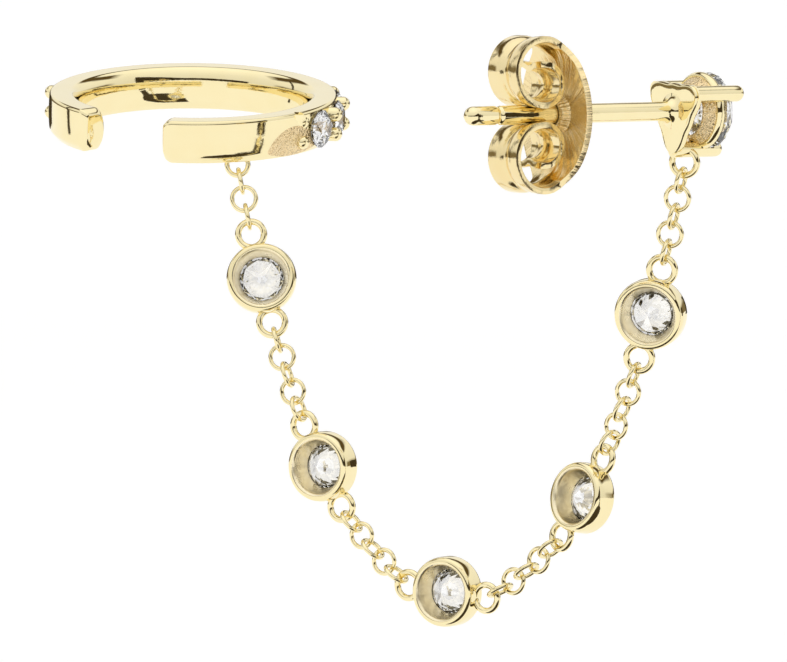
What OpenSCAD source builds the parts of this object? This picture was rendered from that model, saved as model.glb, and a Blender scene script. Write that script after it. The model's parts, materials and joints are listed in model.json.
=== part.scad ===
// Ear chain earring: a stud with a friction back for the lobe and an open cuff for the rim of the ear,
// joined by a fine chain that carries five bezel-set stones.
// The origin is on the post's axis at the back of the stud, where the front of the lobe rests.
// +Y is the way the stud faces and +Z is up. All sizes are in millimetres.

/* [Stud] */
// Diameter of the stud's stone
stud_stone_d = 3.0; // [2.6:0.1:3.4]
// Height of the stone's girdle above the back plate's rear face
stud_girdle_y = 1.77; // [1.7:0.05:2.2]
// Diameter of a prong's wire
prong_d = 0.65; // [0.45:0.05:0.7]
// Length of a prong past the girdle
prong_over = 0.65; // [0.35:0.05:0.7]
// Thickness of the three-lobed back plate
back_plate_t = 0.35; // [0.3:0.05:0.45]
// Wire of the gallery ring under the stone
gallery_wire = 0.4; // [0.3:0.05:0.45]

/* [Post] */
// Diameter of the post
post_d = 0.76; // [0.7:0.02:0.9]
// Length of the post behind the stud
post_len = 10; // [9.5:0.5:12]
// Distance from the post's tip to its groove
groove_back = 1.5; // [1.2:0.1:2]
// Depth of the groove
groove_depth = 0.07; // [0.04:0.01:0.1]

/* [Friction back] */
// Distance from the stud's back to the friction back's plate
lobe_space = 5.2; // [4:0.1:5.5]
// Width of the friction back's plate
clutch_plate_w = 4.6; // [4:0.2:5.2]
// Height of the friction back's plate
clutch_plate_h = 5.8; // [5:0.1:6]
// Thickness of the friction back's metal
clutch_t = 0.24; // [0.2:0.02:0.3]
// Outer diameter of a scroll
scroll_d = 2.85; // [2.7:0.05:3]
// Outer diameter of a scroll's inner curl
curl_d = 1.85; // [1.6:0.05:2]
// Width of a scroll's strip
scroll_w = 1.9; // [1.7:0.1:2.4]
// Gap between the post and what slides on it
slide_clearance = 0.05; // [0.03:0.01:0.08]

/* [Cuff] */
// Inner diameter of the cuff
cuff_bore_d = 9.3; // [8.5:0.1:11]
// Thickness of the cuff's band
cuff_wall = 1.25; // [1:0.01:1.4]
// Height of the cuff's band
cuff_h = 1.77; // [1.64:0.01:2]
// Angle that the cuff's opening spans
cuff_gap = 36; // [25:1:50]
// Direction of the opening's middle, from the cuff's own X axis
cuff_gap_at = -119.5; // [-130:0.5:-110]
// Rounding of the band's long edges
cuff_edge = 0.25; // [0.1:0.01:0.3]
// Rounding of the corners at the cuff's two ends
cuff_end_round = 0.36; // [0.2:0.02:0.5]
// Diameter of a stone on the cuff
cuff_stone_d = 1.55; // [1.3:0.05:1.6]
// Number of stones on the cuff
cuff_stones = 10; // [5:1:11]
// Angle between two stones on the cuff
cuff_stone_pitch = 20; // [20:0.5:21]
// Direction of the first stone
cuff_first_stone = -28; // [-30:0.5:-25]
// Diameter of a prong on the cuff
cuff_prong_d = 0.6; // [0.4:0.05:0.6]
// Turn of the cuff about the upright
cuff_turn = 55; // [40:1:70]
// Lean of the cuff towards its opening
cuff_lean = 10; // [0:1:15]
// Tilt of the cuff towards its stones
cuff_tilt = 0.6; // [0:0.1:3]
// Outer diameter of the cuff's chain loop
cuff_loop_d = 1.05; // [1:0.01:1.4]
// Wire of the cuff's chain loop
cuff_loop_wire = 0.2; // [0.18:0.005:0.28]

/* [Chain] */
// Outer diameter of a link
link_d = 1.145; // [1:0.005:1.3]
// Wire of a link
link_wire = 0.18; // [0.14:0.01:0.2]
// Gap between the wires where two links hang on each other
link_gap = 0.05; // [0.03:0.01:0.08]
// Outer diameter of a loop on the stud or a bezel
loop_d = 1.31; // [1.2:0.01:1.4]
// Wire of a loop on the stud or a bezel
loop_wire = 0.265; // [0.2:0.005:0.28]
// Depth that a loop is soldered into a bezel's wall
loop_sink = 0.235; // [0.15:0.005:0.24]

/* [Bezels] */
// Diameter of a bezel at its widest
bezel_d = 2.84; // [2.6:0.02:3.2]
// Diameter of a bezel's narrow back rim
bezel_back_d = 2.56; // [2.5:0.02:2.8]
// Depth of a bezel from back rim to front rim
bezel_h = 1.05; // [1:0.01:1.3]
// Diameter of a bezel's stone
bezel_stone_d = 1.9; // [1.7:0.05:1.95]
// Gap between a stone and the metal that holds it
stone_gap = 0.02; // [0.01:0.01:0.04]

/* [Hidden] */
$fn = 48;
ROUND = 24;

// How the chain hangs: its shares of weight and pull, all counted in the weight of one link
pull_along = 10.6;
pull_up = 47.4;
station_weight = 12.2;
chain_turn = 23;

// The chain's pieces from the stud to the cuff: how many links hang before each bezel and after the last
LINKS_BEFORE = [5, 5, 5, 5, 5, 3];
// The roll of each fixed loop and bezel about the chain's own line, from the stud's loop to the cuff's
ROLL = [-10, -17, 17, 0, 0, 32, 32];

BEZELS = len(LINKS_BEFORE) - 1;

// Derived sizes of the stud
prong_out = 0.03;
gallery_drop = 0.55;
gallery_in = 0.13;
stud_loop_fore = 0.33;
stud_loop_out = 0.19;
plate_core = 0.75;
plate_lobe_at = 0.84;
plate_lobe = 0.28;
post_r = post_d / 2;
prong_r = prong_d / 2;
prong_at = stud_stone_d / 2 + prong_out;
PRONG_ANGLES = [-93, 27, 147];
prong_end = stud_girdle_y + prong_over;
gallery_y = stud_girdle_y - gallery_drop;
gallery_r = prong_at - gallery_in;
plate_core_r = plate_core * prong_at;
plate_lobe_r = plate_lobe * prong_at;
stud_loop_at = [prong_at * cos(PRONG_ANGLES[0]), back_plate_t + stud_loop_fore,
                -(prong_at + prong_r + stud_loop_out)];

// Derived sizes of the friction back
bore_r = post_r + slide_clearance;
strip_groove = 0.17;
strip_ridge = 0.14;
scroll_r = scroll_d / 2;
curl_r = curl_d / 2;
scroll_near_post = bore_r - strip_groove;
scroll_centre_z = scroll_near_post + scroll_r;
scroll_centre_y = -lobe_space - clutch_t - scroll_r;
collar_r = bore_r + clutch_t;
collar_len = 0.35;
collar_sink = 0.1;
dish_r = 8;
bore_past = 1;
curl_sweep = 190;

// Derived sizes of the cuff
cuff_r = cuff_bore_d / 2 + cuff_wall;
cuff_mid_r = cuff_r - cuff_wall / 2;
cuff_start = cuff_gap_at + cuff_gap / 2;
cuff_sweep = 360 - cuff_gap;
cuff_loop_angle = -69;
cuff_loop_drop = 0.19;
cuff_loop_ring_r = (cuff_loop_d - cuff_loop_wire) / 2;
cuff_girdle_out = 0.03;
cuff_prong_out = 0.5;
cuff_girdle_r = cuff_r + cuff_girdle_out;
cuff_prong_tip_r = cuff_r + cuff_prong_out;
cuff_prong_z = 0.41;

// Derived sizes of the chain
link_ring_r = (link_d - link_wire) / 2;
loop_ring_r = (loop_d - loop_wire) / 2;
link_pitch = 2 * link_ring_r - link_wire - link_gap;
loop_pitch = link_ring_r + loop_ring_r - (link_wire + loop_wire) / 2 - link_gap;
cuff_loop_pitch = link_ring_r + cuff_loop_ring_r - (link_wire + cuff_loop_wire) / 2 - link_gap;
loop_out = bezel_d / 2 + loop_d / 2 - loop_sink;
station_len = 2 * loop_out;

// Proportions of a brilliant cut, as shares of its diameter
TABLE = 0.28;
STAR = 0.385;
CROWN = 0.15;
GIRDLE = 0.03;
PAVILION = 0.43;
LOWER = 0.12;

// One member of the chain runs from ring centre to ring centre: [length, weight, is it a bezel]
MEMBERS = [for (s = [0 : BEZELS])
    each concat(
        [for (k = [0 : LINKS_BEFORE[s]])
            let (beside_loop = k == 0 || k == LINKS_BEFORE[s], at_cuff = s == BEZELS && k == LINKS_BEFORE[s])
            [at_cuff ? cuff_loop_pitch : beside_loop ? loop_pitch : link_pitch, 1, false]],
        s < BEZELS ? [[station_len, station_weight, true]] : [])];

function total(v, n, i = 0) = i >= n ? 0 : v[i] + total(v, n, i + 1);
function total_point(v, n, i = 0) = i >= n ? [0, 0] : v[i] + total_point(v, n, i + 1);

// Each member takes the slope at which the pull along it balances the weight that hangs below
WEIGHTS = [for (m = MEMBERS) m[1]];
SLOPES = [for (i = [0 : len(MEMBERS) - 1])
    atan2(-(pull_up - total(WEIGHTS, i) - WEIGHTS[i] / 2), -pull_along)];
STEPS = [for (i = [0 : len(MEMBERS) - 1]) MEMBERS[i][0] * [cos(SLOPES[i]), sin(SLOPES[i])]];
RINGS = [for (i = [0 : len(MEMBERS)]) total_point(STEPS, i)];

// Where the rings, as counted from the stud's loop, belong to links and where a bezel starts
function rings_before(s) = s == 0 ? 0 : rings_before(s - 1) + LINKS_BEFORE[s - 1] + 2;
LINK_LIST = [for (s = [0 : BEZELS]) for (k = [1 : LINKS_BEFORE[s]])
    [rings_before(s) + k,
     ROLL[s] + (ROLL[s + 1] - ROLL[s]) * k / (LINKS_BEFORE[s] + 1) + (k % 2 == 1 ? 90 : 0)]];
LINKS = len(LINK_LIST);

function in_row(p) = stud_loop_at + [p[0] * cos(chain_turn), p[0] * sin(chain_turn), p[1]];
function lean(p, a) = [p[0], p[1] * cos(a) - p[2] * sin(a), p[1] * sin(a) + p[2] * cos(a)];
function tilted(p, a) = [p[0] * cos(a) + p[2] * sin(a), p[1], -p[0] * sin(a) + p[2] * cos(a)];
function turned(p, a) = [p[0] * cos(a) - p[1] * sin(a), p[0] * sin(a) + p[1] * cos(a), p[2]];

// The cuff hangs where the chain ends
CHAIN_END = in_row(RINGS[len(MEMBERS)]);
cuff_loop_in_cuff = [cuff_mid_r * cos(cuff_loop_angle), cuff_mid_r * sin(cuff_loop_angle),
                     -cuff_h / 2 - cuff_loop_drop];
CUFF_CENTRE = CHAIN_END - turned(tilted(lean(cuff_loop_in_cuff, cuff_lean), cuff_tilt), cuff_turn);

function two_digits(i) = i < 10 ? str("0", i) : str(i);

// A closed ring of wire whose axis is Y
module wire_ring(ring_r, wire) {
    rotate([90, 0, 0])
        rotate_extrude()
            translate([ring_r, 0])
                circle(d = wire, $fn = ROUND);
}

// Puts its children on the chain, with X along it and Y square to the face of a loop or bezel
module on_chain(point, slope, roll) {
    translate(in_row(point))
        rotate([0, 0, chain_turn])
            rotate([0, -slope, 0])
                rotate([roll, 0, 0])
                    children();
}

// A ring on the chain lies along the line between its two neighbours
function ring_slope(i) =
    i == 0 ? SLOPES[0]
    : i == len(MEMBERS) ? SLOPES[i - 1]
    : let (d = RINGS[i + 1] - RINGS[i - 1]) atan2(d[1], d[0]);

// A round brilliant: its girdle's lower edge lies in the plane z = 0 and its table faces +Z
module brilliant(d) {
    table_z = (GIRDLE + CROWN) * d;
    crown_slope = CROWN / (0.5 - TABLE);
    star_z = table_z - crown_slope * (STAR * cos(22.5) - TABLE) * d;
    lower_z = (-PAVILION + 2 * PAVILION * LOWER * cos(22.5)) * d;
    points = concat(
        [for (k = [0 : 7]) [TABLE * d * cos(45 * k), TABLE * d * sin(45 * k), table_z]],
        [for (k = [0 : 7]) [STAR * d * cos(45 * k + 22.5), STAR * d * sin(45 * k + 22.5), star_z]],
        [for (k = [0 : 15]) [0.5 * d * cos(22.5 * k), 0.5 * d * sin(22.5 * k), GIRDLE * d]],
        [for (k = [0 : 15]) [0.5 * d * cos(22.5 * k), 0.5 * d * sin(22.5 * k), 0]],
        [for (k = [0 : 7]) [LOWER * d * cos(45 * k + 22.5), LOWER * d * sin(45 * k + 22.5), lower_z]],
        [[0, 0, -PAVILION * d]]);
    star = 8;
    upper = 16;
    under = 32;
    low = 48;
    culet = 56;
    faces = concat(
        [[for (k = [7 : -1 : 0]) k]],
        [for (k = [0 : 7]) let (n = (k + 1) % 8, g = 2 * k, h = (2 * k + 2) % 16) each [
            [k, n, star + k],
            [k, star + k, upper + g],
            [n, upper + h, star + k],
            [star + k, upper + g + 1, upper + g],
            [star + k, upper + h, upper + g + 1],
            [low + k, under + g, under + g + 1],
            [low + k, under + g + 1, under + h],
            [culet, under + g, low + k],
            [culet, low + k, under + h]]],
        [for (g = [0 : 15]) let (h = (g + 1) % 16) each [
            [upper + g, upper + h, under + g],
            [upper + h, under + h, under + g]]]);
    polyhedron(points, faces);
}

// A rectangle with round corners, centred on the origin
module rounded_rect(w, h, r) {
    square([w - 2 * r, h], center = true);
    square([w, h - 2 * r], center = true);
    for (x = [-1, 1], y = [-1, 1])
        translate([x * (w / 2 - r), y * (h / 2 - r)])
            circle(r, $fn = ROUND);
}

// Turns Z, the axis that a revolved piece is drawn on, into Y
module facing_y() {
    rotate([-90, 0, 0]) children();
}

// The post: a straight shaft with a groove near its rounded tip
module post() {
    rotate([90, 0, 0])
        difference() {
            union() {
                cylinder(r = post_r, h = post_len - post_r);
                translate([0, 0, post_len - post_r]) sphere(post_r);
            }
            translate([0, 0, post_len - groove_back])
                rotate_extrude()
                    translate([post_r + groove_depth, 0])
                        circle(2 * groove_depth, $fn = ROUND);
        }
}

// The three-lobed plate at the back of the stud's setting
module back_plate() {
    facing_y()
        linear_extrude(back_plate_t) {
            circle(plate_core_r);
            for (a = PRONG_ANGLES)
                rotate(-a) {
                    translate([0, -plate_lobe_r]) square([plate_lobe_at * prong_at, 2 * plate_lobe_r]);
                    translate([plate_lobe_at * prong_at, 0]) circle(plate_lobe_r);
                }
        }
}

module stud_prong() {
    facing_y() {
        cylinder(r = prong_r, h = prong_end - prong_r);
        translate([0, 0, prong_end - prong_r]) sphere(prong_r);
    }
}

// The space that the stud's stone takes, with its gap, out of the prongs
module stud_seat() {
    translate([0, stud_girdle_y, 0])
        facing_y()
            rotate_extrude()
                polygon([
                    [0, -PAVILION * stud_stone_d - stone_gap],
                    [stud_stone_d / 2 + stone_gap, -stone_gap],
                    [stud_stone_d / 2 + stone_gap, GIRDLE * stud_stone_d + stone_gap],
                    [TABLE * stud_stone_d + stone_gap, (GIRDLE + CROWN) * stud_stone_d + stone_gap],
                    [0, (GIRDLE + CROWN) * stud_stone_d + stone_gap]]);
}

// The stud's setting with its post and its chain loop, soldered into one piece
module stud_setting() {
    color([0.93, 0.78, 0.45]) {
        difference() {
            union() {
                back_plate();
                for (a = PRONG_ANGLES)
                    translate([prong_at * cos(a), 0, prong_at * sin(a)]) stud_prong();
                translate([0, gallery_y, 0]) wire_ring(gallery_r, gallery_wire);
            }
            stud_seat();
        }
        post();
        on_chain([0, 0], SLOPES[0], ROLL[0]) wire_ring(loop_ring_r, loop_wire);
    }
}

module stud_stone() {
    color([0.95, 0.97, 1])
        translate([0, stud_girdle_y, 0])
            facing_y() brilliant(stud_stone_d);
}

// Section of a scroll's strip, with its outer face on the line x = r and a groove along its middle
module strip_section(r) {
    translate([r, 0])
        polygon([
            [0, -scroll_w / 2],
            [0, -post_r],
            [-strip_groove, -post_r / 2],
            [-strip_groove, post_r / 2],
            [0, post_r],
            [0, scroll_w / 2],
            [-clutch_t, scroll_w / 2],
            [-clutch_t, post_r],
            [-clutch_t - strip_ridge, post_r / 2],
            [-clutch_t - strip_ridge, -post_r / 2],
            [-clutch_t, -post_r],
            [-clutch_t, -scroll_w / 2]]);
}

// An arc of the strip about the X axis, from one angle above +Y through a sweep
module strip_arc(centre_z, r, from, sweep) {
    translate([0, scroll_centre_y, centre_z])
        rotate([from, 0, 0])
            rotate([0, 90, 0])
                rotate([0, 0, 90])
                    rotate_extrude(angle = sweep)
                        strip_section(r);
}

// One scroll: over from the plate to the post, then curled up inside itself
module scroll() {
    strip_arc(scroll_centre_z, scroll_r, 0, 270);
    strip_arc(scroll_near_post + curl_r, curl_r, 270, curl_sweep);
}

// The plate that bears on the back of the lobe: an oval cut from a shallow dish
module clutch_plate() {
    intersection() {
        facing_y()
            translate([0, 0, -lobe_space - clutch_t - bore_past])
                linear_extrude(clutch_t + 2 * bore_past)
                    polygon([for (a = [0 : 7.5 : 352.5])
                        [clutch_plate_w / 2 * cos(a), clutch_plate_h / 2 * sin(a)]]);
        translate([0, -lobe_space - dish_r, 0])
            difference() {
                sphere(dish_r, $fn = 96);
                sphere(dish_r - clutch_t, $fn = 96);
            }
    }
}

// The butterfly friction back: a dished plate with two scrolls that grip the post between them
module friction_back() {
    color([0.93, 0.78, 0.45])
        difference() {
            union() {
                clutch_plate();
                translate([0, -lobe_space - collar_sink, 0])
                    rotate([90, 0, 0]) cylinder(r = collar_r, h = collar_len);
                for (side = [0, 1])
                    mirror([0, 0, side]) scroll();
            }
            translate([0, -lobe_space + bore_past, 0])
                rotate([90, 0, 0]) cylinder(r = bore_r, h = 2 * scroll_d + 2 * bore_past);
        }
}

// Puts its children in the cuff's own frame, with the ring about Z and its middle at the origin
module in_cuff() {
    translate(CUFF_CENTRE)
        rotate([cuff_lean, cuff_tilt, cuff_turn])
            children();
}

// The band without its stones, rounded at its two ends
module cuff_band() {
    end_angle = cuff_end_round / cuff_mid_r * 180 / PI;
    rotate([0, 0, cuff_start + end_angle])
        rotate_extrude(angle = cuff_sweep - 2 * end_angle)
            translate([cuff_mid_r, 0]) rounded_rect(cuff_wall, cuff_h, cuff_edge);
    for (a = [cuff_start + end_angle, cuff_start + cuff_sweep - end_angle])
        rotate([0, 0, a])
            translate([cuff_r - cuff_wall, 0, 0])
                rotate([90, 0, 90])
                    linear_extrude(cuff_wall)
                        rounded_rect(2 * cuff_end_round, cuff_h, 0.9 * cuff_end_round);
}

function cuff_stone_angle(i) = cuff_first_stone + i * cuff_stone_pitch;

// Puts its children where a stone sits, with Z pointing out of the band
module at_cuff_stone(i) {
    rotate([0, 0, cuff_stone_angle(i)])
        translate([cuff_girdle_r, 0, 0])
            rotate([0, 90, 0])
                children();
}

// The space that a stone on the cuff takes out of the band and the prongs
module cuff_seat() {
    r = cuff_stone_d / 2 + stone_gap;
    depth = PAVILION * cuff_stone_d + stone_gap;
    rotate_extrude()
        polygon([[0, -depth], [r, -stone_gap], [r, cuff_wall], [0, cuff_wall]]);
}

// A pair of prongs, one above the other, between two stones
module cuff_prongs(angle) {
    r = cuff_prong_d / 2;
    rotate([0, 0, angle])
        for (z = [-1, 1])
            translate([cuff_mid_r, 0, z * cuff_prong_z])
                rotate([0, 90, 0]) {
                    cylinder(r = r, h = cuff_prong_tip_r - cuff_mid_r - r);
                    translate([0, 0, cuff_prong_tip_r - cuff_mid_r - r]) sphere(r);
                }
}

// The open cuff with its prongs and its chain loop
module cuff() {
    color([0.93, 0.78, 0.45]) {
        in_cuff()
            difference() {
                union() {
                    cuff_band();
                    for (i = [0 : cuff_stones])
                        cuff_prongs(cuff_stone_angle(i - 0.5));
                }
                for (i = [0 : cuff_stones - 1])
                    at_cuff_stone(i) cuff_seat();
            }
        on_chain(RINGS[len(MEMBERS)], SLOPES[len(MEMBERS) - 1], ROLL[BEZELS + 1])
            wire_ring(cuff_loop_ring_r, cuff_loop_wire);
    }
}

module cuff_stone_field() {
    color([0.95, 0.97, 1])
        in_cuff()
            for (i = [0 : cuff_stones - 1])
                at_cuff_stone(i) brilliant(cuff_stone_d);
}

// Heights in a bezel, measured from its back rim, and the steps in its wall
bezel_girdle = PAVILION * bezel_stone_d + stone_gap;
bezel_mid = bezel_h / 2;
bezel_rim = 0.16;
bezel_round = 0.08;
bezel_lip = 0.22;
bezel_hold = 0.05;
bezel_bearing = 0.12;

// A bezel: a cup that widens from its back rim, with a bearing under the stone and a lip over it
module bezel_cup() {
    stone_r = bezel_stone_d / 2;
    wide_r = bezel_d / 2;
    back_r = bezel_back_d / 2;
    girdle_top = bezel_girdle + GIRDLE * bezel_stone_d;
    rotate_extrude()
        polygon([
            [back_r - bezel_rim, bezel_round / 4],
            [back_r - bezel_round, 0],
            [back_r, bezel_round],
            [wide_r, 0.55 * bezel_h],
            [wide_r, 0.78 * bezel_h],
            [wide_r - bezel_round, bezel_h - bezel_round],
            [wide_r - bezel_lip, bezel_h],
            [stone_r + bezel_round, bezel_h],
            [stone_r - bezel_hold, girdle_top + bezel_round],
            [stone_r + stone_gap, girdle_top + stone_gap],
            [stone_r + stone_gap, bezel_girdle - stone_gap],
            [stone_r - bezel_hold, bezel_girdle - bezel_bearing]]);
}

module at_bezel(n) {
    first = rings_before(n) - 1;
    on_chain((RINGS[first] + RINGS[first + 1]) / 2, SLOPES[first], ROLL[n])
        children();
}

module bezel(n) {
    color([0.93, 0.78, 0.45])
        at_bezel(n) {
            translate([0, -bezel_mid, 0]) facing_y() bezel_cup();
            for (side = [-1, 1])
                translate([side * loop_out, 0, 0]) wire_ring(loop_ring_r, loop_wire);
        }
}

module bezel_stone(n) {
    color([0.95, 0.97, 1])
        at_bezel(n)
            translate([0, bezel_girdle - bezel_mid, 0])
                facing_y() brilliant(bezel_stone_d);
}

module link(n) {
    ring = LINK_LIST[n - 1];
    color([0.93, 0.78, 0.45])
        on_chain(RINGS[ring[0]], ring_slope(ring[0]), ring[1])
            wire_ring(link_ring_r, link_wire);
}

stud_setting();
stud_stone();
friction_back();
cuff();
cuff_stone_field();  // cuff_stones
for (i = [1 : BEZELS]) {
    bezel(i);
    bezel_stone(i);
}
for (i = [1 : LINKS])
    link(i);
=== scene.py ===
# %% [markdown]
# # Ear chain earring
# A single-stone stud for the lobe and an open cuff for the rim of the ear are joined by a fine chain with
# five bezel-set stones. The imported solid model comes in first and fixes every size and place. Each later
# step swaps one of its plain solids for a finished piece, or gives it a finish.

# %% Load the solid model
import json
import math

import bmesh
import bpy
import numpy as np
from mathutils import Matrix, Vector


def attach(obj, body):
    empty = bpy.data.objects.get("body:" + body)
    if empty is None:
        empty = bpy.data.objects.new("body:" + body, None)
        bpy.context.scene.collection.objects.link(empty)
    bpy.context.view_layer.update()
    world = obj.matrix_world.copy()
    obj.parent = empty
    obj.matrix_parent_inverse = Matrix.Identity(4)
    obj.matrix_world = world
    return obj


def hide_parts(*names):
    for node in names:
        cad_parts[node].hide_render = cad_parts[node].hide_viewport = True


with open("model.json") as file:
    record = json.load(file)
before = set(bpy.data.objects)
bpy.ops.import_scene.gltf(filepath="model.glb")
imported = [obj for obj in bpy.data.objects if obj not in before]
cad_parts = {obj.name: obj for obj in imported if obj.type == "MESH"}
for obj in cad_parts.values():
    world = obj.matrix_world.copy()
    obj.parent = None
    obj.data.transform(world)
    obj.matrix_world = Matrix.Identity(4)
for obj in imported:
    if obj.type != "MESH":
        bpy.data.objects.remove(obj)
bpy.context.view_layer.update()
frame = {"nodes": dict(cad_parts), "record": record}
scene = bpy.context.scene
MM = 0.001
print("nodes in the frame:", len(frame["nodes"]))

# %% [markdown]
# ## The camera
# Jewellery is photographed from far away through a long lens, so the near and far ends of the chain keep
# almost the same scale. The camera stands half a metre off and looks slightly down. Its place is worked out
# from three directions: where it looks, and what is right and up in the picture.

# %% Camera
TURN = math.radians(55)
DIP = math.radians(3.0)
DISTANCE = 500
AIM_RIGHT = -11.0
AIM_UP = -8.686
PIXELS_PER_MM = 25.316
PICTURE_WIDTH = 787
look = Vector((-math.sin(TURN) * math.cos(DIP), math.cos(TURN) * math.cos(DIP), -math.sin(DIP)))
right = Vector((math.cos(TURN), math.sin(TURN), 0))
up = right.cross(look)
camera = bpy.data.objects.new("camera", bpy.data.cameras.new("camera"))
scene.collection.objects.link(camera)
camera_stand = Matrix.Translation((right * AIM_RIGHT + up * AIM_UP - look * DISTANCE) * MM)
camera.matrix_world = camera_stand @ Matrix((right, up, -look)).transposed().to_4x4()
camera.data.sensor_width = 36
camera.data.lens = PIXELS_PER_MM * DISTANCE * camera.data.sensor_width / PICTURE_WIDTH
camera.data.clip_start = 0.01
camera.data.clip_end = 20
scene.camera = camera
print("lens:", round(camera.data.lens), "mm")

# %% [markdown]
# ## Building finishes
# Every finish is a small network of shader nodes. These helpers add nodes and sockets, blend two colours,
# and start and end a material, so that each finish below reads as a short list.

# %% Shader helpers
def add_node(tree, kind, links=(), **values):
    """Adds a node and sets its properties and inputs. Each link is an input with what feeds it, which is
    another node's socket or a plain value."""
    node = tree.nodes.new(kind)
    for name, value in values.items():
        if hasattr(node, name):
            setattr(node, name, value)
        else:
            node.inputs[name.replace("_", " ")].default_value = value
    for name, source in links:
        if isinstance(source, bpy.types.NodeSocket):
            tree.links.new(source, node.inputs[name])
        else:
            node.inputs[name].default_value = source
    return node


def mixed_colour(tree, share, first, second):
    """The blend of two colours, each a socket or plain (red, green, blue) values."""
    mix = add_node(tree, "ShaderNodeMix", [("Factor", share)], data_type="RGBA")
    for socket, colour in zip([s for s in mix.inputs if s.type == "RGBA"], (first, second)):
        if isinstance(colour, bpy.types.NodeSocket):
            tree.links.new(colour, socket)
        else:
            socket.default_value = (*colour, 1)
    return next(s for s in mix.outputs if s.type == "RGBA")


def add_socket(tree, name, kind, value=None, side="INPUT"):
    """Gives a node group an input or output."""
    socket = tree.interface.new_socket(name, in_out=side, socket_type="NodeSocket" + kind)
    if value is not None:
        socket.default_value = value


def new_material(name):
    """An empty material and its tree."""
    material = bpy.data.materials.new(name)
    material.use_nodes = True
    material.node_tree.nodes.clear()
    return material, material.node_tree


def add_shader(tree, links, **values):
    """Ends a material's tree with its shader and its output."""
    shader = add_node(tree, "ShaderNodeBsdfPrincipled", links, **values)
    add_node(tree, "ShaderNodeOutputMaterial", [("Surface", shader.outputs["BSDF"])])
    return shader


# %% [markdown]
# ## The hand of the polisher
# Polished gold is never a perfect mirror: soft waves stay from filing, and fine hairlines from the last
# cloth. One node group makes both from noise and is placed in each gold finish with its own values.

# %% Node group: metal surface
def metal_surface_group():
    tree = bpy.data.node_groups.new("worked metal", "ShaderNodeTree")
    for name, value in (("Wave Scale", 900.0), ("Wave", 0.1), ("Grain Scale", 9000.0), ("Grain", 0.1),
                        ("Rough Low", 0.05), ("Rough High", 0.15)):
        add_socket(tree, name, "Float", value)
    for name in ("Light Colour", "Deep Colour"):
        add_socket(tree, name, "Color")
    for name, kind in (("Colour", "Color"), ("Roughness", "Float"), ("Normal", "Vector")):
        add_socket(tree, name, kind, side="OUTPUT")
    given = tree.nodes.new("NodeGroupInput").outputs
    made = tree.nodes.new("NodeGroupOutput").inputs
    where = add_node(tree, "ShaderNodeTexCoord").outputs["Object"]
    waves = add_node(tree, "ShaderNodeTexNoise", [("Vector", where), ("Scale", given["Wave Scale"])],
                     Detail=2.0, Roughness=0.5).outputs["Fac"]
    grain = add_node(tree, "ShaderNodeTexNoise", [("Vector", where), ("Scale", given["Grain Scale"])],
                     Detail=4.0, Roughness=0.6).outputs["Fac"]
    wavy = add_node(tree, "ShaderNodeBump", [("Height", waves), ("Strength", given["Wave"])],
                    Distance=0.0002)
    grainy = add_node(tree, "ShaderNodeBump", [
        ("Height", grain), ("Strength", given["Grain"]), ("Normal", wavy.outputs["Normal"])],
        Distance=0.00002)
    rough = add_node(tree, "ShaderNodeMapRange", [
        ("Value", waves), ("To Min", given["Rough Low"]), ("To Max", given["Rough High"])],
        From_Min=0.3, From_Max=0.7)
    tree.links.new(mixed_colour(tree, waves, given["Light Colour"], given["Deep Colour"]), made["Colour"])
    tree.links.new(rough.outputs["Result"], made["Roughness"])
    tree.links.new(grainy.outputs["Normal"], made["Normal"])
    return tree


METAL_SURFACE = metal_surface_group()
print("node group:", METAL_SURFACE.name)

# %% [markdown]
# ## Four finishes of gold
# Polished gold covers most of the earring. The friction back is pressed from sheet and duller, with strokes
# on its plate that run out from the post. Metal that a burr has cut stays rough, and the bezels' cones are
# bored to a fine satin.

# %% Materials: gold
def gold(name, light, deep, wave, grain, rough_low, rough_high, wave_scale=900.0, grain_scale=9000.0):
    """A gold finish: a metal whose colour, roughness and small relief come from the node group."""
    material, tree = new_material(name)
    surface = add_node(tree, "ShaderNodeGroup", [
        ("Light Colour", (*light, 1)), ("Deep Colour", (*deep, 1)), ("Wave", wave), ("Grain", grain),
        ("Rough Low", rough_low), ("Rough High", rough_high), ("Wave Scale", wave_scale),
        ("Grain Scale", grain_scale)], node_tree=METAL_SURFACE).outputs
    add_shader(tree, [("Base Color", surface["Colour"]), ("Roughness", surface["Roughness"]),
                      ("Normal", surface["Normal"])], Metallic=1.0)
    return material


PLATE_REAR_Y = -0.0061
PLATE_FRONT_Y = -0.0057
STROKE_ROUGH = 0.09
STROKE_COLOUR = (0.94, 0.76, 0.42)


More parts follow.
